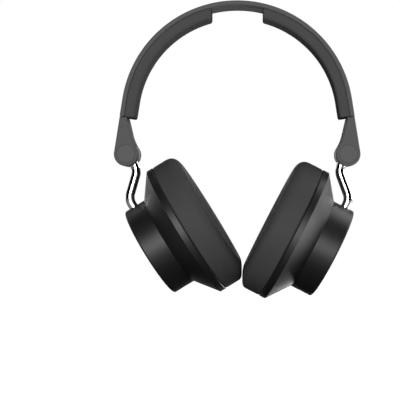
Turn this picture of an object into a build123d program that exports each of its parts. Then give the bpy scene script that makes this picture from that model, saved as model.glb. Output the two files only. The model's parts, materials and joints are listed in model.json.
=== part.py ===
"""Folding over-ear headset: sprung headband, sliding arms, tube yokes and round closed cups.

Millimetres, +Z up, -Y is the front. The origin is the hanger seat, under the crown of the headband.
Each side is modelled as the left one (at -X) and the right one is its mirror image.
"""
from build123d import *
from math import asin, atan2, cos, degrees, hypot, radians, sin, sqrt
import os

# ---- clearances -------------------------------------------------------------------------------
body_gap = 0.3            # between pieces that move past each other
seat_gap = 0.05           # between pieces of one body that seat in each other
running_gap = 0.05        # radial, shaft in its bore

# ---- headband ---------------------------------------------------------------------------------
band_outer_r = 78.93      # outside radius of the arch
band_thickness = 3.2
band_width = 22.0         # front to back
band_edge_r = 1.1
band_splay = 9.07         # degrees that the legs lean out from the vertical
band_leg = 12.0           # straight leg below the arch
spring_thickness = 0.8
spring_width = 10.0
spring_end = 22.0         # degrees above the horizontal at which the spring stops
pad_thickness = 7.1
pad_side_inset = 0.6      # pad edge inside the shell edge
pad_edge_r = 3.0
crown_gap = 35.0          # between the two pads, where the hanger goes
pad_base_thickness = 4.4
pad_base_width = 17.0
pad_base_setback = 2.5    # base end inside the pad end, at the crown

# ---- slider and arm ---------------------------------------------------------------------------
slider_thickness = 1.0
slider_width = 13.0
slider_depth = 3.9        # blade centre below the outside of the band
slider_reach = 26.5       # up inside the headband when closed
slider_root = 11.0        # moulded into the arm
slider_travel = 18.0
detent_r = 0.9
detent_pitch = 3.0
slider_end_r = 2.0        # corners of the blade's upper end
detent_start = 3.0        # first notch above the arm
arm_width = 20.0          # front to back
arm_drop = 37.0           # from the end of the arch down to the hinge axis
arm_top_thickness = 4.75
arm_inner_slope = 0.41    # how fast the inside edge leaves the outside edge
arm_blend_r = 28.0
arm_edge_r = 1.1
knuckle_r = 8.3
hinge_cap_r = 6.3
hinge_cap_thickness = 1.5
hinge_cap_proud = 0.25
hinge_cap_edge_r = 0.4
pin_r = 1.6
washer_r = 4.2
washer_thickness = 0.4
barrel_width = 9.2
barrel_edge_r = 0.6
mic_hole_r = 0.65
mic_recess = 0.4
mic_length = 2.0
mic_drop = 17.9           # microphone port above the hinge axis
mic_inset = 2.63          # and from the outside edge of the arm

# ---- yoke tube --------------------------------------------------------------------------------
tube_r = 3.25
tube_wall = 0.8
tube_bend_r = 10.0
tube_top_depth = 0.4      # toward the ear from the hinge axis
tube_start_drop = 3.3
upper_bend_drop = 12.0
lower_bend_drop = 26.4
stem_depth = -15.4        # swivel axis, outward from the hinge axis
stem_inside = 11.5        # stem length inside the can
bush_wall = 1.2
boss_wall = 1.2
bush_length = 8.0
clip_r = 4.9
clip_thickness = 1.2

# ---- cup: depths are along the ear axis, toward the ear; zero is the plane of the hinge axis ----
cup_drop = 65.4           # hinge axis to cup centre
can_r = 32.6
can_wall = 2.0
cap_edge_depth = -22.0
cap_rim_height = 1.4
cap_skirt = 1.5
cap_dome = 1.2
cap_edge_r = 1.2
flare_depth = -6.5        # the can ends and the flare begins
ridge_depth = 5.5         # widest point of the housing
rim_r = 48.5
housing_wall = 2.0
back_opening_r = 22.0
seam_depth = 10.2         # back of the ear cushion
rim_wall = 1.8
rim_chamfer = 0.5
baffle_thickness = 2.0
cushion_ring_thickness = 0.9
cushion_ring_inner_r = 29.0
cushion_inset = 0.15      # cushion edge inside the edge of the rim
cushion_thickness = 15.6
cushion_outer_round = 8.0
cushion_inner_round = 6.0
ear_opening_r = 27.0

# ---- driver -----------------------------------------------------------------------------------
driver_r = 20.0
driver_lip = 1.5
driver_lip_thickness = 1.0
driver_depth = 5.0
basket_wall = 1.2
magnet_r = 9.0
magnet_height = 4.0
basket_taper = 3.0        # how much narrower the basket is at its back
diaphragm_edge = 3.0      # flat edge of the diaphragm
dome_inset = 2.0          # dust dome inside the magnet's radius
diaphragm_thickness = 0.4
diaphragm_height = 1.6
grille_r = 23.5
grille_thickness = 0.8
grille_hole_r = 1.5
grille_pitch = 6.5        # between circles of holes
grille_ring_count = 2     # circles round the middle hole, each with six holes more

# ---- electronics, keys and sockets --------------------------------------------------------------
battery_size = (6.0, 34.0, 24.0)
battery_edge_r = 1.5
battery_gap = 1.1         # cell above the audio socket
board_thickness = 1.6
board_gap = 4.6           # board edge inside the can's wall, where keys and switches go
board_depth = -15.0
board_low_gap = 1.5       # board above the charging socket
board_high = 15.0
post_r = 1.8
post_margin = 1.0         # board edge beyond a post
post_angles = (60.0, 120.0, 240.0, 300.0)  # about the ear axis, from the top
switch_size = 4.0
switch_gap = 0.6          # from a key to its switch
key_r = 2.6
key_height = 1.0          # stands out of the can
key_flange_r = 3.6
key_flange = 1.0
key_edge_r = 0.5
key_depth = -14.0
key_angles = (-19.0, 0.0, 19.0)  # about the ear axis, from the back of the can
audio_bore_r = 1.8
audio_bore_length = 14.0
audio_body_r = 3.4
audio_sink = 0.2          # socket face under the can's surface
audio_floor = 1.3         # wall at the end of the bore
usb_width = 9.0
usb_height = 3.2
usb_length = 7.5
usb_sink = 0.6
usb_shell = 0.35          # sheet metal of the socket
usb_corner_r = 1.4
usb_tongue = (0.7, 6.4)
usb_mouth = 1.5           # tongue tip behind the mouth
socket_depth = -14.0
screw_r = 1.1
screw_head_r = 2.0
screw_head = 1.2
screw_length = 5.0
screw_count = 4
screw_inset = 4.0         # screw centre inside the edge of the baffle

# ---- pose in which the headset hangs -----------------------------------------------------------
cushion_meet_x = 3.2      # where the two cushions meet, right of the middle
cushion_gap = 0.42        # left between them

# ---- derived -----------------------------------------------------------------------------------
band_inner_r = band_outer_r - band_thickness
arch_z = -band_inner_r
gap_half = barrel_width / 2 + body_gap + washer_thickness
recess_depth = hinge_cap_thickness - hinge_cap_proud
pin_half = arm_width / 2 - recess_depth
blade_x = slider_depth - knuckle_r            # in the arm's frame
arm_top = arm_drop - band_leg - body_gap
can_inner_r = can_r - can_wall
board_r = can_inner_r - board_gap
board_low = -can_r + usb_sink + usb_length + board_low_gap
battery_low = -can_r + audio_sink + audio_bore_length + audio_floor + battery_gap
cushion_r = rim_r - cushion_inset
cushion_front = seam_depth + cushion_thickness
cap_back = cap_edge_depth + cap_rim_height
rim_end = seam_depth - body_gap
baffle_front = seam_depth - cushion_ring_thickness
baffle_back = baffle_front - baffle_thickness
baffle_r = rim_r - rim_wall - seat_gap
mic_place = Pos(mic_inset - knuckle_r, 0, mic_drop)
stem_end_drop = cup_drop - can_r + stem_inside
bush_r = tube_r + running_gap + bush_wall
boss_r = bush_r + boss_wall


def hinge_point():
    """Centre of the left hinge, tangent to the outside line of the leg."""
    lean = radians(band_splay)
    radius = band_outer_r - knuckle_r
    x = -radius * cos(lean) - arm_drop * sin(lean)
    z = arch_z + radius * sin(lean) - arm_drop * cos(lean)
    return x, z


hinge_x, hinge_z = hinge_point()
arm_frame = Pos(hinge_x, 0, hinge_z) * Rot(0, band_splay, 0)   # X toward the head, Z up the leg


def fold_angle(meet_x):
    """Degrees that a cup leans in when the side of its cushion reaches the place where the two meet."""
    reach = meet_x - cushion_gap / 2 - hinge_x - cushion_outer_round
    along = cushion_front - cushion_outer_round
    down = cup_drop + cushion_r - cushion_outer_round
    return degrees(asin(reach / hypot(along, down)) - atan2(along, down))


fold_rest = {"left": fold_angle(cushion_meet_x), "right": fold_angle(-cushion_meet_x)}


def yoke_frame(side):
    """X toward the ear and -Z down to the cup, from the left hinge axis."""
    return Pos(hinge_x, 0, hinge_z) * Rot(0, -fold_rest[side], 0)


def cup_frame(side):
    """X along the ear axis, from the cup's centre."""
    return yoke_frame(side) * Pos(0, 0, -cup_drop)


on_base = (Align.CENTER, Align.CENTER, Align.MIN)


# ---- drawing helpers ---------------------------------------------------------------------------
def band_path(leg, end_angle=band_splay):
    """The arch at the shell's inside radius, from left to right, with straight legs."""
    lean = radians(end_angle)
    left = Vector(-band_inner_r * cos(lean), 0, arch_z + band_inner_r * sin(lean))
    foot = left + Vector(-sin(lean), 0, -cos(lean)) * leg
    right, other_foot = Vector(-left.X, 0, left.Z), Vector(-foot.X, 0, foot.Z)
    arch = ThreePointArc(left, (0, 0, 0), right)
    edges = [Line(foot, left), arch, Line(right, other_foot)] if leg else [arch]
    start = Plane(foot, x_dir=(-cos(lean), 0, sin(lean)), z_dir=(sin(lean), 0, cos(lean)))
    return Wire(edges), start


def band_sweep(section, leg, end_angle=band_splay):
    """Sweeps a section (x outward from the shell's inside, y across) along the band."""
    path, start = band_path(leg, end_angle)
    return sweep(start * section, path=path)


def left_of(shape, x):
    """The part of a band piece that lies left of x."""
    size = 4 * band_outer_r
    return shape & (Pos(x - size / 2, 0, 0) * Box(size, size, size))


def turned(points, rounds=None):
    """A solid turned about X from (depth, radius) corners, with some corners rounded."""
    face = make_face(Polyline(*points, close=True))
    for corner, radius in (rounds or {}).items():
        vertex = face.vertices().sort_by_distance(Vector(*points[corner]))[0]
        face = fillet(vertex, radius)
    return revolve(Plane.XZ * face, axis=Axis.X)


def disc(radius, low, high):
    """A cylinder along X."""
    return Pos(low, 0, 0) * Rot(0, 90, 0) * Cylinder(radius, high - low, align=on_base)


def across(radius, low, high):
    """A cylinder along Y."""
    return Pos(0, high, 0) * Rot(90, 0, 0) * Cylinder(radius, high - low, align=on_base)


def upright(radius, low, high):
    """A cylinder along Z."""
    return Pos(0, 0, low) * Cylinder(radius, high - low, align=on_base)


def mirrored(shape):
    """The same piece, or group of pieces, on the other side of the head."""
    solids = [mirror(solid, about=Plane.YZ) for solid in shape.solids()]
    return solids[0] if len(solids) == 1 else Compound(solids)


# ---- headband ----------------------------------------------------------------------------------
def slider_slot():
    """The straight space that the blade needs inside the band, in the arm's frame."""
    reach = slider_reach + body_gap
    slot = Box(slider_thickness + 2 * body_gap, slider_width + 2 * body_gap, reach + 1,
               align=(Align.CENTER, Align.CENTER, Align.MIN))
    return arm_frame * Pos(blade_x, 0, arm_drop - band_leg - 1) * slot


def both_slots():
    slot = slider_slot()
    return slot + mirrored(slot)


def headband_shell():
    section = Pos(band_thickness / 2, 0) * RectangleRounded(band_thickness, band_width, band_edge_r)
    groove = Pos(spring_thickness / 2, 0) * Rectangle(spring_thickness, spring_width + 2 * seat_gap)
    shell = band_sweep(section, band_leg)
    return shell - band_sweep(groove, 0, spring_end - 0.5) - both_slots()


def band_spring():
    section = Pos((spring_thickness - seat_gap) / 2, 0) * Rectangle(spring_thickness - seat_gap, spring_width)
    return band_sweep(section, 0, spring_end)


def pad_base():
    section = Pos(-pad_base_thickness / 2, 0) * Rectangle(pad_base_thickness, pad_base_width)
    base = left_of(band_sweep(section, band_leg), -crown_gap / 2 - pad_base_setback)
    return base - slider_slot()


def band_pad():
    width = band_width - 2 * pad_side_inset
    section = Pos(-pad_thickness / 2, 0) * Rectangle(pad_thickness, width)
    inner = section.vertices().group_by(Axis.X)[0]
    section = fillet(inner, pad_edge_r)
    pad = left_of(band_sweep(section, band_leg), -crown_gap / 2)
    pocket_depth = pad_base_thickness + seat_gap
    pocket = Pos(-pocket_depth / 2, 0) * Rectangle(pocket_depth, pad_base_width + 2 * seat_gap)
    return pad - left_of(band_sweep(pocket, band_leg), -crown_gap / 2 - pad_base_setback + seat_gap)


# ---- arm and hinge -----------------------------------------------------------------------------
def slider():
    """Flat steel blade with click notches along its rear edge."""
    length = slider_reach + body_gap + slider_root
    blade = Box(slider_thickness, slider_width, length, align=on_base)
    blade = fillet(blade.edges().filter_by(Axis.X).group_by(Axis.Z)[-1], slider_end_r)
    notches = int(slider_travel / detent_pitch) + 1
    first = slider_root + body_gap + detent_start
    for i in range(notches):
        notch = disc(detent_r, -slider_thickness, slider_thickness)
        blade -= Pos(0, slider_width / 2, first + i * detent_pitch) * notch
    return Pos(blade_x, 0, arm_top - slider_root) * blade


def arm(side):
    """Moulded arm: a tapered blade that swells into a forked round knuckle."""
    top_x = arm_top_thickness - knuckle_r
    foot_x = top_x + arm_inner_slope * arm_top
    sides = Polyline((-knuckle_r, 0), (-knuckle_r, arm_top), (top_x, arm_top), (foot_x, 0), close=True)
    outline = make_face(sides) + Circle(knuckle_r)
    blend = outline.vertices().sort_by_distance(Vector(foot_x, knuckle_r))[0]
    outline = fillet(blend, arm_blend_r)
    body = extrude(Plane.XZ * outline, amount=arm_width / 2, both=True)
    rims = body.edges().filter_by(lambda e: abs(abs(e.center().Y) - arm_width / 2) < 0.01)
    body = fillet(rims, arm_edge_r)
    body -= across(knuckle_r + body_gap, -gap_half, gap_half)
    for end in (-1, 1):
        recess = sorted((end * (arm_width / 2 - recess_depth), end * (arm_width / 2 + 1)))
        body -= across(hinge_cap_r + seat_gap, *recess)
    body -= across(pin_r + seat_gap, -arm_width, arm_width)
    pocket = Box(slider_thickness + 2 * seat_gap, slider_width + 2 * seat_gap, slider_root + seat_gap,
                 align=(Align.CENTER, Align.CENTER, Align.MAX))
    body -= Pos(blade_x, 0, arm_top) * pocket
    if side == "left":
        body -= mic_place * across(mic_hole_r, -arm_width, mic_recess + mic_length - arm_width / 2)
    return body


def arm_microphone():
    """Capsule at the bottom of the pinhole in the front of the left arm."""
    front = mic_recess - arm_width / 2
    return mic_place * across(mic_hole_r - seat_gap, front, front + mic_length)


def hinge_pin():
    return across(pin_r, -pin_half, pin_half)


def hinge_caps():
    caps = []
    for end in (-1, 1):
        span = sorted((end * pin_half, end * (pin_half + hinge_cap_thickness)))
        cap = across(hinge_cap_r, *span)
        outer = cap.edges().sort_by(Axis.Y)[-1 if end > 0 else 0]
        caps.append(fillet(outer, hinge_cap_edge_r))
    return Compound(caps)


def hinge_washers():
    rings = []
    for end in (-1, 1):
        span = sorted((end * (gap_half - washer_thickness), end * gap_half))
        rings.append(across(washer_r, *span) - across(pin_r + seat_gap, -arm_width, arm_width))
    return Compound(rings)


# ---- yoke --------------------------------------------------------------------------------------
def hinge_barrel():
    barrel = across(knuckle_r, -barrel_width / 2, barrel_width / 2)
    barrel = fillet(barrel.edges().filter_by(GeomType.CIRCLE), barrel_edge_r)
    barrel -= across(pin_r + running_gap, -barrel_width, barrel_width)
    socket = upright(tube_r + seat_gap, -2 * knuckle_r, -tube_start_drop + seat_gap)
    return barrel - Pos(tube_top_depth, 0, 0) * socket


def yoke_tube():
    """One tube with an S bend, from the barrel down into the can."""
    path = FilletPolyline(
        (tube_top_depth, 0, -tube_start_drop),
        (tube_top_depth, 0, -upper_bend_drop),
        (stem_depth, 0, -lower_bend_drop),
        (stem_depth, 0, -stem_end_drop),
        radius=tube_bend_r,
    )
    start = Plane((tube_top_depth, 0, -tube_start_drop), x_dir=(1, 0, 0), z_dir=(0, 0, -1))
    section = Circle(tube_r) - Circle(tube_r - tube_wall)
    return sweep(start * section, path=path)


def stem_clip():
    """Retaining ring on the end of the stem, under the bush."""
    top = -(cup_drop - can_r + bush_length + body_gap)
    ring = upright(clip_r, top - clip_thickness, top) - upright(tube_r + seat_gap, top - 5, top + 5)
    return Pos(stem_depth, 0, 0) * ring


# ---- cup ---------------------------------------------------------------------------------------
def bush_place():
    """Top of the bush in the cup's frame, just under the can's surface."""
    return Pos(stem_depth, 0, can_r - bush_length)


def stem_bush():
    bush = upright(bush_r, 0, bush_length) & (Pos(0, 0, bush_length - can_r) * disc(can_r, -bush_r, bush_r))
    return bush_place() * (bush - upright(tube_r + running_gap, -1, bush_length + 1))


def outer_can(side):
    """Cylinder wall of the can with a boss for the stem, and holes for the keys or sockets."""
    wall = disc(can_r, cap_back, flare_depth) - disc(can_inner_r, cap_back - 1, flare_depth + 1)
    wall += bush_place() * upright(boss_r, 1.0, bush_length) & disc(can_r - seat_gap, cap_back, flare_depth)
    wall -= bush_place() * upright(bush_r + seat_gap, -5, 2 * bush_length)
    if side == "right":
        for angle in key_angles:
            wall -= Rot(angle, 0, 0) * Pos(key_depth, 0, 0) * across(key_r + body_gap, 0, 2 * can_r)
        wall -= Pos(socket_depth, 0, -can_r) * fillet(
            Box(usb_height, usb_width, 4 * can_wall).edges().filter_by(Axis.Z), usb_height / 2 - 0.1)
    else:
        wall -= Pos(socket_depth, 0, -can_r) * upright(audio_body_r + seat_gap, -can_wall * 2, can_wall * 2)
    return wall


def outer_cap():
    """Slightly domed cap with a softened edge and a skirt inside the can."""
    apex = (cap_edge_depth - cap_dome, 0)
    rim = (cap_edge_depth, can_r)
    slope = cap_dome / can_r ** 2
    halfway = (cap_edge_depth - cap_dome + slope * (can_r / 2) ** 2, can_r / 2)
    dome = ThreePointArc(apex, halfway, rim)
    rest = Polyline(rim, (cap_back, can_r), (cap_back, 0), apex)
    face = make_face(dome.edges() + rest.edges())
    face = fillet(face.vertices().sort_by_distance(Vector(*rim))[0], cap_edge_r)
    plate = revolve(Plane.XZ * face, axis=Axis.X)
    skirt_r = can_inner_r - seat_gap
    skirt = disc(skirt_r, cap_back, cap_back + cap_skirt) - disc(skirt_r - can_wall, cap_back - 1, 0)
    return plate + (skirt - bush_place() * upright(boss_r + seat_gap, -5, 2 * bush_length))


def cup_housing():
    """Flared back of the cup, with a wall across its narrow end."""
    wall = housing_wall
    return turned([
        (flare_depth, back_opening_r),
        (flare_depth, can_r),
        (ridge_depth, rim_r),
        (ridge_depth + 1.0, rim_r),
        (ridge_depth + 1.0, rim_r - wall),
        (ridge_depth - 0.5, rim_r - wall),
        (flare_depth + wall, can_r - 0.6),
        (flare_depth + wall, back_opening_r),
    ])


def rim_ring():
    """Short ring round the cup's mouth; its front corner is chamfered."""
    start = ridge_depth + 1.0
    return turned([
        (start, rim_r - rim_wall),
        (start, rim_r),
        (rim_end - rim_chamfer, rim_r),
        (rim_end, rim_r - rim_chamfer),
        (rim_end, rim_r - rim_wall),
    ])


def baffle():
    plate = disc(baffle_r, baffle_back, baffle_front) - disc(driver_r + seat_gap, 0, seam_depth)
    for i in range(screw_count):
        turn = Rot(45 + i * 360 / screw_count, 0, 0)
        plate -= turn * Pos(0, 0, baffle_r - screw_inset) * disc(screw_r + seat_gap, 0, seam_depth)
    return plate


def baffle_screws():
    screws = []
    for i in range(screw_count):
        turn = Rot(45 + i * 360 / screw_count, 0, 0) * Pos(0, 0, baffle_r - screw_inset)
        shank = disc(screw_r, baffle_front - screw_length, baffle_front)
        head = disc(screw_head_r, baffle_back - screw_head, baffle_back)
        screws.append(turn * (shank + head))
    return Compound(screws)


def cushion_ring():
    return disc(rim_r - rim_wall, baffle_front, seam_depth) - disc(cushion_ring_inner_r, 0, 2 * seam_depth)


def ear_cushion():
    return turned(
        [(seam_depth, ear_opening_r), (seam_depth, cushion_r),
         (cushion_front, cushion_r), (cushion_front, ear_opening_r)],
        {2: cushion_outer_round, 3: cushion_inner_round},
    )


# ---- driver ------------------------------------------------------------------------------------
def driver_frame():
    lip_r = driver_r + driver_lip
    back = baffle_back - driver_depth
    return turned([
        (back, magnet_r + seat_gap),
        (back, driver_r - basket_taper),
        (baffle_back - driver_lip_thickness, driver_r - seat_gap),
        (baffle_back - driver_lip_thickness, lip_r),
        (baffle_back, lip_r),
        (baffle_back, driver_r - seat_gap),
        (baffle_front, driver_r - seat_gap),
        (baffle_front, driver_r - basket_wall),
        (baffle_back, driver_r - basket_wall),
        (back + basket_wall, driver_r - basket_taper - basket_wall),
        (back + basket_wall, magnet_r + seat_gap),
    ])


def driver_magnet():
    back = baffle_back - driver_depth
    return disc(magnet_r, back - magnet_height + basket_wall, back + basket_wall)


def diaphragm():
    edge = driver_r - basket_wall - seat_gap
    low, high = baffle_back, baffle_back + diaphragm_thickness
    top = high + diaphragm_height - diaphragm_thickness
    return turned([
        (low, 0), (low, edge), (high, edge), (high, edge - diaphragm_edge), (top, magnet_r),
        (high, magnet_r - dome_inset), (top, 0),
    ])


def driver_grille():
    grille = disc(grille_r, baffle_front, baffle_front + grille_thickness)
    for ring in range(grille_ring_count + 1):
        count = max(1, 6 * ring)
        for i in range(count):
            turn = Rot(i * 360 / count, 0, 0) * Pos(0, 0, ring * grille_pitch)
            grille -= turn * disc(grille_hole_r, 0, 2 * seam_depth)
    return grille


# ---- electronics, keys and sockets -------------------------------------------------------------
def battery():
    """Pouch cell that lies on the housing's back wall."""
    depth, width, height = battery_size
    cell = Box(depth, width, height)
    cell = fillet(cell.edges().filter_by(Axis.Y), battery_edge_r)
    return Pos(flare_depth - depth / 2, 0, battery_low + height / 2) * cell


def circuit_board():
    """Round board on posts of the housing's back wall, cut flat above and below."""
    face = board_depth + board_thickness
    board = disc(board_r, board_depth, face)
    board &= Pos(0, 0, (board_low + board_high) / 2) * Box(4 * board_r, 4 * board_r, board_high - board_low)
    for angle in post_angles:
        post = Pos(0, 0, board_r - post_margin - post_r) * disc(post_r, face, flare_depth)
        board += Rot(angle, 0, 0) * post
    return board


def key_seat():
    """Outer face of a key's flange, just inside the can's wall."""
    return sqrt(can_inner_r ** 2 - key_flange_r ** 2) - body_gap


def key_switches():
    """One switch for each key, on the edge of the board."""
    switches = []
    top = key_seat() - key_flange - switch_gap
    length = top - board_r + 1.0
    for angle in key_angles:
        block = Pos(key_depth, top - length / 2, 0) * Box(board_thickness, length, switch_size)
        switches.append(Rot(angle, 0, 0) * block - disc(board_r + seat_gap, -can_r, 0))
    return Compound(switches)


def key(angle):
    """A push key in the back of the can, with a flange inside the wall."""
    top = can_r + key_height
    seat = key_seat()
    stem = across(key_r, seat - key_flange, top)
    stem = fillet(stem.edges().sort_by(Axis.Y)[-1], key_edge_r)
    flange = across(key_flange_r, seat - key_flange, seat)
    return Rot(angle, 0, 0) * Pos(key_depth, 0, 0) * (stem + flange)


def audio_socket():
    """Round socket for a 3.5 mm plug in the underside of the left can."""
    face = -can_r + audio_sink
    body = upright(audio_body_r, face, face + audio_bore_length + audio_floor)
    body -= upright(audio_bore_r, face - 1, face + audio_bore_length)
    return Pos(socket_depth, 0, 0) * body


def usb_socket():
    """Metal shell of the charging socket, in the underside of the right can."""
    bottom = -can_r + usb_sink
    outer = Box(usb_height - 2 * seat_gap, usb_width - 2 * seat_gap, usb_length)
    outer = fillet(outer.edges().filter_by(Axis.Z), usb_corner_r)
    inner = Box(usb_height - 2 * usb_shell, usb_width - 2 * usb_shell, usb_length)
    inner = fillet(inner.edges().filter_by(Axis.Z), usb_corner_r - usb_shell + seat_gap)
    tongue = Box(*usb_tongue, usb_length - usb_mouth)
    shell = outer - Pos(0, 0, -2 * usb_shell) * inner + Pos(0, 0, usb_mouth / 2) * tongue
    return Pos(socket_depth, 0, bottom + usb_length / 2) * shell


# ---- assembly ----------------------------------------------------------------------------------
def side_pieces(side):
    """Every piece of one side, placed as a left side."""
    yoke = yoke_frame(side)
    cup = cup_frame(side)
    pieces = {
        "band_pad": band_pad(),
        "pad_base": pad_base(),
        "slider": arm_frame * slider(),
        "arm": arm_frame * arm(side),
        "hinge_pin": arm_frame * hinge_pin(),
        "hinge_caps": arm_frame * hinge_caps(),
        "hinge_washers": arm_frame * hinge_washers(),
        "hinge_barrel": yoke * hinge_barrel(),
        "yoke_tube": yoke * yoke_tube(),
        "stem_clip": yoke * stem_clip(),
        "stem_bush": cup * stem_bush(),
        "outer_can": cup * outer_can(side),
        "outer_cap": cup * outer_cap(),
        "cup_housing": cup * cup_housing(),
        "rim_ring": cup * rim_ring(),
        "baffle": cup * baffle(),
        "baffle_screws": cup * baffle_screws(),
        "cushion_ring": cup * cushion_ring(),
        "ear_cushion": cup * ear_cushion(),
        "driver_frame": cup * driver_frame(),
        "driver_magnet": cup * driver_magnet(),
        "diaphragm": cup * diaphragm(),
        "driver_grille": cup * driver_grille(),
    }
    named = {f"{name}_{side}": shape for name, shape in pieces.items()}
    if side == "left":
        named["arm_microphone"] = arm_frame * arm_microphone()
        named["battery"] = cup * battery()
        named["audio_socket"] = cup * audio_socket()
    else:
        named["circuit_board"] = cup * circuit_board()
        named["key_switches"] = cup * key_switches()
        named["usb_socket"] = cup * usb_socket()
        for name, angle in zip(("volume_down_key", "power_key", "volume_up_key"), key_angles):
            named[name] = cup * key(angle)
        named = {name: mirrored(shape) for name, shape in named.items()}
    return named


def assembly():
    pieces = {"headband_shell": headband_shell(), "band_spring": band_spring()}
    for side in ("left", "right"):
        pieces.update(side_pieces(side))
    return pieces


def main():
    os.makedirs("parts", exist_ok=True)
    for name, shape in assembly().items():
        export_step(shape, f"parts/{name}.step")


main()
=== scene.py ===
import json
from math import asin, atan2, cos, exp, hypot, pi, sin

import bmesh
import bpy
from mathutils import Matrix, Vector


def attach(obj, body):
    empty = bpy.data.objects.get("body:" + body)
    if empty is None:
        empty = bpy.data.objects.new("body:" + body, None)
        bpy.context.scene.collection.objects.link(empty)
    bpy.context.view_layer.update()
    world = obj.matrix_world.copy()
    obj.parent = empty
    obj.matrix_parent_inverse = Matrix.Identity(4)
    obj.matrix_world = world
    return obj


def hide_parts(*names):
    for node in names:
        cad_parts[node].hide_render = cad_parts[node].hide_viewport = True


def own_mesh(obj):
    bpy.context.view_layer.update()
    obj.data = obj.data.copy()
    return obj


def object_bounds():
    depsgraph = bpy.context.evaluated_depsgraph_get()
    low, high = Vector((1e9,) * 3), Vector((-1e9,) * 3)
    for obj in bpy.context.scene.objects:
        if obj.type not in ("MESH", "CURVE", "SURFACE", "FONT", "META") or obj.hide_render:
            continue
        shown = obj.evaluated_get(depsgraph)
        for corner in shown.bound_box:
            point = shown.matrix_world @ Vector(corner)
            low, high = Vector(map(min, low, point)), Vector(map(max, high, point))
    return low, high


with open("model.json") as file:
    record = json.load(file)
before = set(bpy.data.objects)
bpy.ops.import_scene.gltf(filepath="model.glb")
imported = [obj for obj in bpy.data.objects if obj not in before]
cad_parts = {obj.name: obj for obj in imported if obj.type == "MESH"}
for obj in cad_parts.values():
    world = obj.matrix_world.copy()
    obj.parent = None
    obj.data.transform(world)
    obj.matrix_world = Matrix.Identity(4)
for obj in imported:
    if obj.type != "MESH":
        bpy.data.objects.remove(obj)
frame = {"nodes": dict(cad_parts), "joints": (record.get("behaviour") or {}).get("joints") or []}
cad_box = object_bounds()

# ---- Camera, surroundings and lamps -------------------------------------------------------------
# A level camera faces the front of the headset from about two thirds of a metre. The room is white
# and plain, with a pale floor below the hanging headset, soft lamps, and black flags out of sight.
MM = 0.001
scene = bpy.context.scene
scene.view_settings.view_transform = "Standard"

camera_place = (10 * MM, -655 * MM, -132.4 * MM)
camera_lens = 85.5
camera_shift = -0.1297      # moves the headset right of the middle, where the photograph has it
camera = bpy.data.objects.new("camera", bpy.data.cameras.new("camera"))
scene.collection.objects.link(camera)
camera.location = camera_place
camera.rotation_euler = (pi / 2, 0, 0)
camera.data.lens = camera_lens
camera.data.shift_x = camera_shift
scene.camera = camera

sky_colour = (0.95, 0.97, 1, 1)
sky_strength = 0.2
world = bpy.data.worlds.new("room")
world.use_nodes = True
scene.world = world
nodes, links = world.node_tree.nodes, world.node_tree.links
sky = nodes["Background"]
sky.inputs["Color"].default_value = sky_colour
sky.inputs["Strength"].default_value = sky_strength
# Camera, glossy and transmission rays see plain white, and the others are lit by the sky.
path = nodes.new("ShaderNodeLightPath")
seen = path.outputs["Is Camera Ray"]
for ray in ("Is Glossy Ray", "Is Transmission Ray"):
    either = nodes.new("ShaderNodeMath")
    either.operation = "MAXIMUM"
    links.new(seen, either.inputs[0])
    links.new(path.outputs[ray], either.inputs[1])
    seen = either.outputs[0]
white = nodes.new("ShaderNodeBackground")
white.inputs["Color"].default_value = (1, 1, 1, 1)
white.inputs["Strength"].default_value = 1.0
mix = nodes.new("ShaderNodeMixShader")
links.new(seen, mix.inputs[0])
links.new(sky.outputs[0], mix.inputs[1])
links.new(white.outputs[0], mix.inputs[2])
links.new(mix.outputs[0], nodes["World Output"].inputs["Surface"])


def from_bmesh(name, shape, turn_out=True):
    """A new object at the origin from a bmesh, smooth shaded and with its faces pointing out."""
    if turn_out:
        bmesh.ops.recalc_face_normals(shape, faces=shape.faces)
        if shape.calc_volume(signed=True) < 0:
            bmesh.ops.reverse_faces(shape, faces=shape.faces)
    mesh = bpy.data.meshes.new(name)
    shape.to_mesh(mesh)
    shape.free()
    mesh.polygons.foreach_set("use_smooth", [True] * len(mesh.polygons))
    thing = bpy.data.objects.new(name, mesh)
    scene.collection.objects.link(thing)
    return thing


floor_z = cad_box[0][2] - 65 * MM
floor_reach = 1.4
floor_colour = (0.5, 0.5, 0.5, 1)
floor_glow = 0.9            # seen by the camera only, it makes the floor plain white
shape = bmesh.new()
bmesh.ops.create_grid(shape, x_segments=2, y_segments=2, size=floor_reach)
bmesh.ops.translate(shape, verts=shape.verts, vec=(0, 0, floor_z))
floor = from_bmesh("floor", shape, turn_out=False)
floor_finish = bpy.data.materials.new("floor white")
floor_finish.use_nodes = True
floor_nodes, floor_links = floor_finish.node_tree.nodes, floor_finish.node_tree.links
floor_white = floor_nodes["Principled BSDF"]
floor_white.inputs["Base Color"].default_value = floor_colour
floor_white.inputs["Roughness"].default_value = 0.8
floor_white.inputs["Specular IOR Level"].default_value = 0.0
floor_white.inputs["Emission Color"].default_value = (1, 1, 1, 1)
floor_seen = floor_nodes.new("ShaderNodeLightPath")
floor_level = floor_nodes.new("ShaderNodeMath")
floor_level.operation = "MULTIPLY"
floor_level.inputs[1].default_value = floor_glow
floor_links.new(floor_seen.outputs["Is Camera Ray"], floor_level.inputs[0])
floor_links.new(floor_level.outputs[0], floor_white.inputs["Emission Strength"])
floor.data.materials.append(floor_finish)


def wall(name, place, angle, axis, width, height):
    """A black flag out of the camera's sight, which keeps light and reflections off the object."""
    turn = Matrix.Rotation(angle, 3, axis)
    shape = bmesh.new()
    bmesh.ops.create_grid(shape, x_segments=1, y_segments=1, size=0.5)
    bmesh.ops.scale(shape, verts=shape.verts, vec=(width, height, 1))
    bmesh.ops.rotate(shape, verts=shape.verts, cent=(0, 0, 0), matrix=turn)
    bmesh.ops.translate(shape, verts=shape.verts, vec=place)
    flag = from_bmesh(name, shape, turn_out=False)
    flag.data.materials.append(flag_black)
    flag.visible_camera = False


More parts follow.
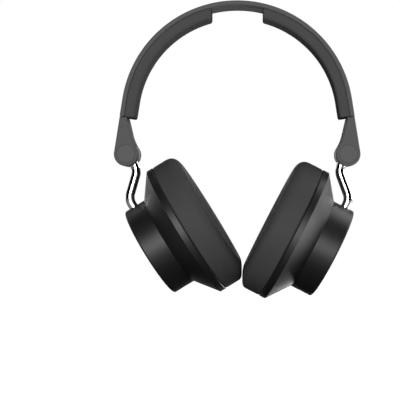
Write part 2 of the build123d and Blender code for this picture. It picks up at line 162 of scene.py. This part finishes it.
flag_black = bpy.data.materials.new("flag black")
flag_black.use_nodes = True
flag_cloth = flag_black.node_tree.nodes["Principled BSDF"]
flag_cloth.inputs["Base Color"].default_value = (0.02, 0.02, 0.02, 1)
flag_cloth.inputs["Specular IOR Level"].default_value = 0.0
wall("front flag", (0, -2.4, 0.2), pi / 2, "X", 4.0, 2.8)
wall("left flag", (-1.5, -0.9, 0.2), pi / 2, "Y", 2.8, 3.0)
wall("right flag", (1.5, -0.9, 0.2), pi / 2, "Y", 2.8, 3.0)
wall("top flag", (0, -0.7, 1.6), 0, "X", 3.0, 3.4)
wall("back flag", (0, 2.0, 1.15), pi / 2, "X", 4.0, 1.3)
wall("low flag", (0, -0.02, floor_z + MM), 0, "X", 0.26, 0.26)
bpy.data.objects["low flag"].visible_shadow = False


def lamp(name, place, target, size, power):
    """A square area lamp at place that faces target, with its size in metres and power in watts."""
    light = bpy.data.lights.new(name, "AREA")
    light.size = size
    light.energy = power
    toward = Vector(target) - Vector(place)
    thing = bpy.data.objects.new(name, light)
    thing.location = place
    thing.rotation_euler = toward.to_track_quat("-Z", "Y").to_euler()
    thing.visible_camera = False
    scene.collection.objects.link(thing)


middle = (0, 0, -0.1)
lamp("front lamp", (-0.08, -1.3, 0.12), middle, 0.75, 16)
lamp("right lamp", (1.1, 0.3, 0.15), middle, 0.7, 5)
lamp("top lamp", (0.75, 0.3, 0.75), middle, 0.7, 4.5)
lamp("low lamp", (0.21, 0.05, -0.255), (0.17, 0, 0), 0.36, 1.6)

# ---- Headband shell and spring ------------------------------------------------------------------
# The shell is one bent moulding of ABS with a soft-touch paint, dark grey and matt. A strip of
# blackened spring steel lies in a groove along its underside.
patch = 18 * MM             # across one of the broad changes of colour
shine_spread = 0.12         # of the roughness, either way


def finish(name, colour, roughness, grain=0.5 * MM, depth=0.02, vary=0.12, metal=0.0, gloss=0.5):
    """A solid finish: fine grain, depth millimetres deep, and broad, faint changes of colour."""
    made = bpy.data.materials.new(name)
    made.use_nodes = True
    nodes, links = made.node_tree.nodes, made.node_tree.links
    shader = nodes["Principled BSDF"]
    shader.inputs["Metallic"].default_value = metal
    shader.inputs["Specular IOR Level"].default_value = gloss
    place = nodes.new("ShaderNodeTexCoord")
    broad = nodes.new("ShaderNodeTexNoise")
    broad.inputs["Scale"].default_value = 1 / patch
    broad.inputs["Detail"].default_value = 3
    links.new(place.outputs["Object"], broad.inputs["Vector"])
    tint = nodes.new("ShaderNodeMix")
    tint.data_type = "RGBA"
    tint.inputs["A"].default_value = (*[c * (1 - vary) for c in colour], 1)
    tint.inputs["B"].default_value = (*[c * (1 + vary) for c in colour], 1)
    links.new(broad.outputs["Fac"], tint.inputs["Factor"])
    links.new(tint.outputs["Result"], shader.inputs["Base Color"])
    fine = nodes.new("ShaderNodeTexNoise")
    fine.inputs["Scale"].default_value = 1 / grain
    fine.inputs["Detail"].default_value = 2
    links.new(place.outputs["Object"], fine.inputs["Vector"])
    shine = nodes.new("ShaderNodeMapRange")
    shine.inputs["To Min"].default_value = roughness * (1 - shine_spread)
    shine.inputs["To Max"].default_value = min(1, roughness * (1 + shine_spread))
    links.new(fine.outputs["Fac"], shine.inputs["Value"])
    links.new(shine.outputs["Result"], shader.inputs["Roughness"])
    bump = nodes.new("ShaderNodeBump")
    bump.inputs["Strength"].default_value = 1.0
    bump.inputs["Distance"].default_value = depth * MM
    links.new(fine.outputs["Fac"], bump.inputs["Height"])
    links.new(bump.outputs["Normal"], shader.inputs["Normal"])
    return made


def dress(made, *nodes):
    """Gives CAD nodes their finish."""
    for node in nodes:
        mesh = frame["nodes"][node].data
        mesh.materials.clear()
        mesh.materials.append(made)


def both(*names):
    """The left and right node of each name."""
    return [f"{name}_{side}" for name in names for side in ("left", "right")]


soft_grey = finish("soft-touch dark grey", (0.098, 0.098, 0.1), 0.6,
                   grain=0.35 * MM, depth=0.0025, vary=0.04, gloss=0.05)
dress(soft_grey, "headband_shell")
black_steel = finish("blackened spring steel", (0.03, 0.03, 0.032), 0.45,
                     grain=0.8 * MM, metal=0.8)
dress(black_steel, "band_spring")

# ---- Sliders ------------------------------------------------------------------------------------
# Each arm hangs on a flat steel blade that slides inside the leg of the headband. Its rear edge
# has click notches, and its surface is burnished dark.
burnished_steel = finish("burnished steel", (0.16, 0.16, 0.165), 0.38,
                         grain=0.25 * MM, depth=0.004, metal=1.0)
dress(burnished_steel, *both("slider"))

# ---- Arms, hinge caps and microphone ------------------------------------------------------------
# Each arm is a moulded fork in the same painted plastic as the headband. A pressed cap covers the
# pin at the front and the rear, and the left arm has a pinhole with a microphone behind it.
dress(soft_grey, *both("arm"))
cap_grey = finish("hinge cap grey", (0.1, 0.1, 0.102), 0.5, depth=0.005, vary=0.05, gloss=0.08)
dress(cap_grey, *both("hinge_caps"))
black_nylon = finish("black nylon", (0.018, 0.018, 0.019), 0.5, gloss=0.4)
dress(black_nylon, "arm_microphone", *both("hinge_washers", "stem_bush", "stem_clip"))
turned_steel = finish("turned steel", (0.5, 0.5, 0.52), 0.28,
                      grain=0.3 * MM, depth=0.003, metal=1.0)
dress(turned_steel, *both("hinge_pin", "driver_magnet", "baffle_screws"))

# ---- Hinge barrels and yoke tubes ---------------------------------------------------------------
# The barrel between the fork's cheeks is painted zinc. One bent steel tube, polished and chrome
# plated, is pressed into it and carries the cup.
barrel_paint = finish("barrel paint", (0.05, 0.05, 0.052), 0.4, gloss=0.4)
dress(barrel_paint, *both("hinge_barrel"))
chrome = finish("chrome plate", (0.83, 0.83, 0.85), 0.07,
                grain=3 * MM, depth=0.0004, vary=0.03, metal=1.0)
dress(chrome, *both("yoke_tube"))

# ---- Cans, caps and housings --------------------------------------------------------------------
# Each cup is a cylindrical can with a shallow domed cap, on a flared housing. They are injection
# moulded in black with a satin surface.
satin_black = finish("satin black", (0.009, 0.009, 0.0093), 0.42,
                     grain=0.4 * MM, depth=0.002, gloss=0.38)
dress(satin_black, *both("outer_can", "outer_cap", "cup_housing", "rim_ring"))

# ---- Keys and sockets ---------------------------------------------------------------------------
# Three rubber-coated keys stand out of the back of the right can. The charging socket below them
# is a pressed steel shell, and the audio socket in the left can is a black moulding.
key_rubber = finish("key rubber", (0.03, 0.03, 0.031), 0.62,
                    grain=0.3 * MM, depth=0.01, gloss=0.3)
dress(key_rubber, "volume_down_key", "power_key", "volume_up_key")
socket_steel = finish("socket steel", (0.6, 0.6, 0.62), 0.25,
                      grain=0.6 * MM, depth=0.003, metal=1.0)
dress(socket_steel, "usb_socket")
dress(black_nylon, "audio_socket", "key_switches")

# ---- Electronics --------------------------------------------------------------------------------
# The circuit board is green laminate, and the battery is a flat cell in crinkled silver foil.
board_green = finish("board laminate", (0.012, 0.09, 0.035), 0.4,
                     grain=0.7 * MM, depth=0.01, vary=0.3)
dress(board_green, "circuit_board")
cell_foil = finish("cell foil", (0.5, 0.5, 0.52), 0.38,
                   grain=2.5 * MM, depth=0.08, vary=0.08, metal=0.9)
dress(cell_foil, "battery")

# ---- Baffles and drivers ------------------------------------------------------------------------
# A plastic baffle closes each housing behind the ear and carries a dynamic driver: a moulded
# basket, a clear film diaphragm and a stamped, painted grille in front of it.
baffle_black = finish("baffle plastic", (0.022, 0.022, 0.023), 0.55, gloss=0.35)
dress(baffle_black, *both("baffle", "cushion_ring", "driver_frame"))
film = finish("diaphragm film", (0.16, 0.16, 0.18), 0.2,
              grain=4 * MM, depth=0.01, gloss=0.6)
dress(film, *both("diaphragm"))
grille_paint = finish("grille paint", (0.02, 0.02, 0.02), 0.45, depth=0.008)
dress(grille_paint, *both("driver_grille"))

# ---- Ear cushions -------------------------------------------------------------------------------
# Foam rings in a thin black leatherette cover, glued to a plastic ring and sewn with a welt on the
# inner wall. The hanging headset presses the two together at the bottom, so they are flat there.
joints = {joint["name"]: joint for joint in frame["joints"]}
cup_drop = 65.4 * MM
meet_x = 3.2 * MM           # the cushions meet right of the middle
meet_gap = 0.15 * MM        # left between them
press_soft = 1.2 * MM       # depth over which a cushion gives way
seam_depth = 10.25 * MM     # back of the cushion along the ear axis
cushion_front = 27.2 * MM
cushion_crown = 0.7 * MM
cushion_r = 48.35 * MM
ear_opening_r = 27.6 * MM
cushion_rounds = [0.6 * MM, 0.6 * MM, 5.8 * MM, 5 * MM]     # back inside, back, front, front inside
cushion_spacing = 2.2 * MM
cushion_swell = 0.7 * MM    # the most that the cover moves when it is filled
cushion_steps = 96
welt_depth = 14.5 * MM
welt_r = 0.5 * MM


def leather(name, colour, roughness, cell=0.9 * MM, depth=0.05, gloss=0.3):
    """Leatherette: small rounded cells with creases between them, over broad soft unevenness."""
    made = finish(name, colour, roughness, grain=6 * MM, depth=depth * 2, vary=0.1, gloss=gloss)
    nodes, links = made.node_tree.nodes, made.node_tree.links
    shader = nodes["Principled BSDF"]
    place = next(node for node in nodes if node.bl_idname == "ShaderNodeTexCoord")
    soft = next(node for node in nodes if node.bl_idname == "ShaderNodeBump")
    cells = nodes.new("ShaderNodeTexVoronoi")
    cells.feature = "DISTANCE_TO_EDGE"
    cells.inputs["Scale"].default_value = 1 / cell
    links.new(place.outputs["Object"], cells.inputs["Vector"])
    rounded = nodes.new("ShaderNodeMapRange")
    rounded.interpolation_type = "SMOOTHSTEP"
    rounded.inputs["From Max"].default_value = 0.35
    links.new(cells.outputs["Distance"], rounded.inputs["Value"])
    crease = nodes.new("ShaderNodeBump")
    crease.inputs["Distance"].default_value = depth * MM
    links.new(rounded.outputs["Result"], crease.inputs["Height"])
    links.new(soft.outputs["Normal"], crease.inputs["Normal"])
    links.new(crease.outputs["Normal"], shader.inputs["Normal"])
    return made


def cup_place(side):
    """From a cup's own frame (X along the ear axis, Z up the stem) to the frame of the object."""
    up = Vector(joints[f"swivel_{side}"]["axis"])
    up *= 1 if up.z > 0 else -1
    inward = 1 if side == "left" else -1
    ear = Vector((inward * up.z, 0, -inward * up.x))
    centre = Vector(joints[f"fold_{side}"]["pos_m"]) - up * cup_drop
    return Matrix.Translation(centre) @ Matrix((ear, up.cross(ear), up)).transposed().to_4x4()


def rounded_outline(corners, rounds, spacing):
    """Points about spacing apart along a closed right-angled outline, with each corner an arc."""
    points = []
    for i, corner in enumerate(corners):
        here, after = Vector(corner), Vector(corners[(i + 1) % len(corners)])
        along, back = (after - here).normalized(), (Vector(corners[i - 1]) - here).normalized()
        centre = here + (along + back) * rounds[i]
        steps = max(2, round(rounds[i] * pi / 2 / spacing))
        for k in range(steps + 1):
            turn = k / steps * pi / 2
            points.append(centre - (along * cos(turn) + back * sin(turn)) * rounds[i])
        end = after - along * rounds[(i + 1) % len(corners)]
        length = (end - points[-1]).length
        steps = max(1, round(length / spacing))
        start = points[-1]
        points += [start.lerp(end, k / steps) for k in range(1, steps)]
    return points


def spun(section, steps):
    """A ring turned about X from (depth, radius) points."""
    shape = bmesh.new()
    verts = [shape.verts.new((depth, 0, radius)) for depth, radius in section]
    edges = [shape.edges.new((verts[i - 1], verts[i])) for i in range(len(verts))]
    bmesh.ops.spin(shape, geom=verts + edges, axis=(1, 0, 0), cent=(0, 0, 0),
                   angle=2 * pi, steps=steps, use_merge=True)
    return shape


bench = 8                   # covers are filled at eight times their size, which suits the solver
fill_pressure = 4
fill_frames = 20


def swollen(thing, held, cap):
    """Fills a closed mesh with the held points fixed, and moves no point further than cap."""
    rest = [vert.co.copy() for vert in thing.data.vertices]
    thing.data.transform(Matrix.Scale(bench, 4))
    thing.vertex_groups.new(name="held").add(held, 1.0, "REPLACE")
    cloth = thing.modifiers.new("cover", "CLOTH")
    cloth.settings.vertex_group_mass = "held"
    cloth.settings.use_pressure = True
    cloth.settings.uniform_pressure_force = fill_pressure
    cloth.settings.effector_weights.gravity = 0
    for number in range(1, fill_frames + 1):
        scene.frame_set(number)
    filled = thing.evaluated_get(bpy.context.evaluated_depsgraph_get()).data
    moved = [vert.co.copy() for vert in filled.vertices]
    thing.modifiers.remove(cloth)
    scene.frame_set(1)
    for vert, start, end in zip(thing.data.vertices, rest, moved):
        step = end / bench - start
        vert.co = start + step * min(1, cap / max(step.length, 1e-9))
    thing.data.update()


def pressed(thing, side):
    """Flattens what would pass the place where the two cushions meet."""
    facing = 1 if side == "left" else -1
    limit = facing * meet_x - meet_gap / 2
    for vert in thing.data.vertices:
        past = facing * vert.co.x - (limit - press_soft)
        if past > 0:
            vert.co.x = facing * (limit - press_soft * exp(-past / press_soft))


cushion_cover = leather("cushion leatherette", (0.056, 0.056, 0.057), 0.55,
                        depth=0.008, gloss=0.06)
welt_cover = finish("cushion welt", (0.012, 0.012, 0.012), 0.5)
for side in ("left", "right"):
    place = cup_place(side)
    corners = [(seam_depth, ear_opening_r), (seam_depth, cushion_r),
               (cushion_front, cushion_r), (cushion_front, ear_opening_r)]
    outline = rounded_outline(corners, cushion_rounds, cushion_spacing)
    middle_r = (cushion_r + ear_opening_r) / 2
    for point in outline:
        bulge = 1 - ((point.y - middle_r) / (cushion_r - middle_r)) ** 2
        point.x += cushion_crown * bulge * (point.x - seam_depth) / (cushion_front - seam_depth)
    cushion = from_bmesh(f"ear_cushion_cover_{side}", spun(outline, cushion_steps))
    glued = seam_depth + cushion_rounds[0]
    back = [vert.index for vert in cushion.data.vertices if vert.co.x < glued]
    swollen(cushion, back, cushion_swell)
    cushion.data.transform(place)
    pressed(cushion, side)
    finer = cushion.modifiers.new("finer", "SUBSURF")
    finer.levels = finer.render_levels = 1
    cushion.data.materials.append(cushion_cover)
    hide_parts(f"ear_cushion_{side}")
    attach(cushion, f"cup_{side}")
    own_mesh(cushion)
    wall_r = ear_opening_r - cushion_swell
    welt = [(welt_depth + welt_r * cos(turn), wall_r + welt_r * sin(turn))
            for turn in (k * pi / 5 for k in range(10))]
    piping = from_bmesh(f"cushion_welt_{side}", spun(welt, cushion_steps))
    piping.data.transform(place)
    piping.data.materials.append(welt_cover)
    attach(piping, f"cup_{side}")

# ---- Scrim cloths -------------------------------------------------------------------------------
# A thin knitted polyester cloth lies over each driver grille, inside the cushion's opening.
scrim_r = 28.4 * MM
scrim_depth = 10.6 * MM
scrim_crown = 0.5 * MM
scrim_thickness = 0.2 * MM
scrim_sides = 64
scrim_circles = 5
circle_pitch = scrim_r / 6.5
scrim_cloth = leather("scrim knit", (0.02, 0.02, 0.021), 0.85, cell=0.7 * MM, depth=0.12)
for side in ("left", "right"):
    shape = bmesh.new()
    bmesh.ops.create_circle(shape, cap_ends=True, cap_tris=False, segments=scrim_sides,
                            radius=scrim_r)
    for _ in range(scrim_circles):
        top = [face for face in shape.faces if len(face.verts) == scrim_sides]
        bmesh.ops.inset_region(shape, faces=top, thickness=circle_pitch, use_boundary=True)
    for vert in shape.verts:
        lift = 1 - (vert.co.length / scrim_r) ** 2
        vert.co = (scrim_depth + scrim_crown * lift, vert.co.x, vert.co.y)
    scrim = from_bmesh(f"scrim_{side}", shape)
    scrim.data.transform(cup_place(side))
    thick = scrim.modifiers.new("thick", "SOLIDIFY")
    thick.thickness = scrim_thickness
    thick.offset = 0
    scrim.data.materials.append(scrim_cloth)
    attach(scrim, f"cup_{side}")

# ---- Headband pads ------------------------------------------------------------------------------
# Each pad is soft foam on a thin plastic base, under a glued cover of black leatherette. It swells
# a little toward the head, and its ends are rounded.
arch_r = 75.73 * MM         # inside of the shell
band_lean = 9.07 * pi / 180
band_leg = 12 * MM          # straight, below the arch
pad_thickness = 7.1 * MM
pad_crown = 0.5 * MM
pad_half = 10.3 * MM        # half of its width, front to back
pad_round = 1.8 * MM
pad_back_round = 0.4 * MM
pad_spacing = 1.5 * MM
crown_half = 17.5 * MM      # half of the gap between the pads at the crown
pad_gap = 0.08 * MM         # from the shell
pad_end_round = 1.3 * MM
pad_steps = 48              # round the arch
leg_steps = 6
dress(baffle_black, *both("pad_base"))
pad_cover = leather("band pad leatherette", (0.07, 0.07, 0.072), 0.7,
                    cell=0.6 * MM, depth=0.012, gloss=0.0)


def pad_outline():
    """(across, thickness) outline, slightly crowned toward the head."""
    low, high = pad_gap, pad_thickness - pad_crown
    corners = [(-pad_half, low), (-pad_half, high), (pad_half, high), (pad_half, low)]
    rounds = [pad_back_round, pad_round, pad_round, pad_back_round]
    points = rounded_outline(corners, rounds, pad_spacing)
    for point in points:
        bulge = 1 - (point.x / pad_half) ** 2
        point.y += pad_crown * bulge * max(0, point.y - high / 2) / (high / 2)
    return points


for side in ("left", "right"):
    facing = -1 if side == "left" else 1
    last = pi / 2 - band_lean
    shape = bmesh.new()
    verts = [shape.verts.new((0, y, -thickness)) for y, thickness in pad_outline()]
    shape.faces.new(verts)
    spin = bmesh.ops.spin(shape, geom=shape.verts[:] + shape.edges[:] + shape.faces[:],
                          cent=(0, 0, -arch_r), axis=(0, 1, 0), angle=facing * last,
                          steps=pad_steps)
    for vert in shape.verts:
        radius = hypot(vert.co.x, vert.co.z + arch_r)
        start = asin(crown_half / radius)
        turn = start + atan2(abs(vert.co.x), vert.co.z + arch_r) / last * (last - start)
        vert.co.x, vert.co.z = facing * radius * sin(turn), radius * cos(turn) - arch_r
    end = [part for part in spin["geom_last"] if isinstance(part, bmesh.types.BMFace)]
    down = Vector((facing * sin(band_lean), 0, -cos(band_lean)))
    for _ in range(leg_steps):
        grown = bmesh.ops.extrude_face_region(shape, geom=end)["geom"]
        bmesh.ops.delete(shape, geom=end, context="FACES_ONLY")
        end = [part for part in grown if isinstance(part, bmesh.types.BMFace)]
        moved = [part for part in grown if isinstance(part, bmesh.types.BMVert)]
        bmesh.ops.translate(shape, verts=moved, vec=down * band_leg / leg_steps)
    ends = [edge for face in shape.faces if len(face.verts) > 4 for edge in face.edges]
    bmesh.ops.bevel(shape, geom=ends, offset=pad_end_round, segments=4, profile=0.5,
                    affect="EDGES", material=-1)
    pad = from_bmesh(f"band_pad_cover_{side}", shape)
    pad.data.materials.append(pad_cover)
    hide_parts(f"band_pad_{side}")
    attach(pad, "headband")
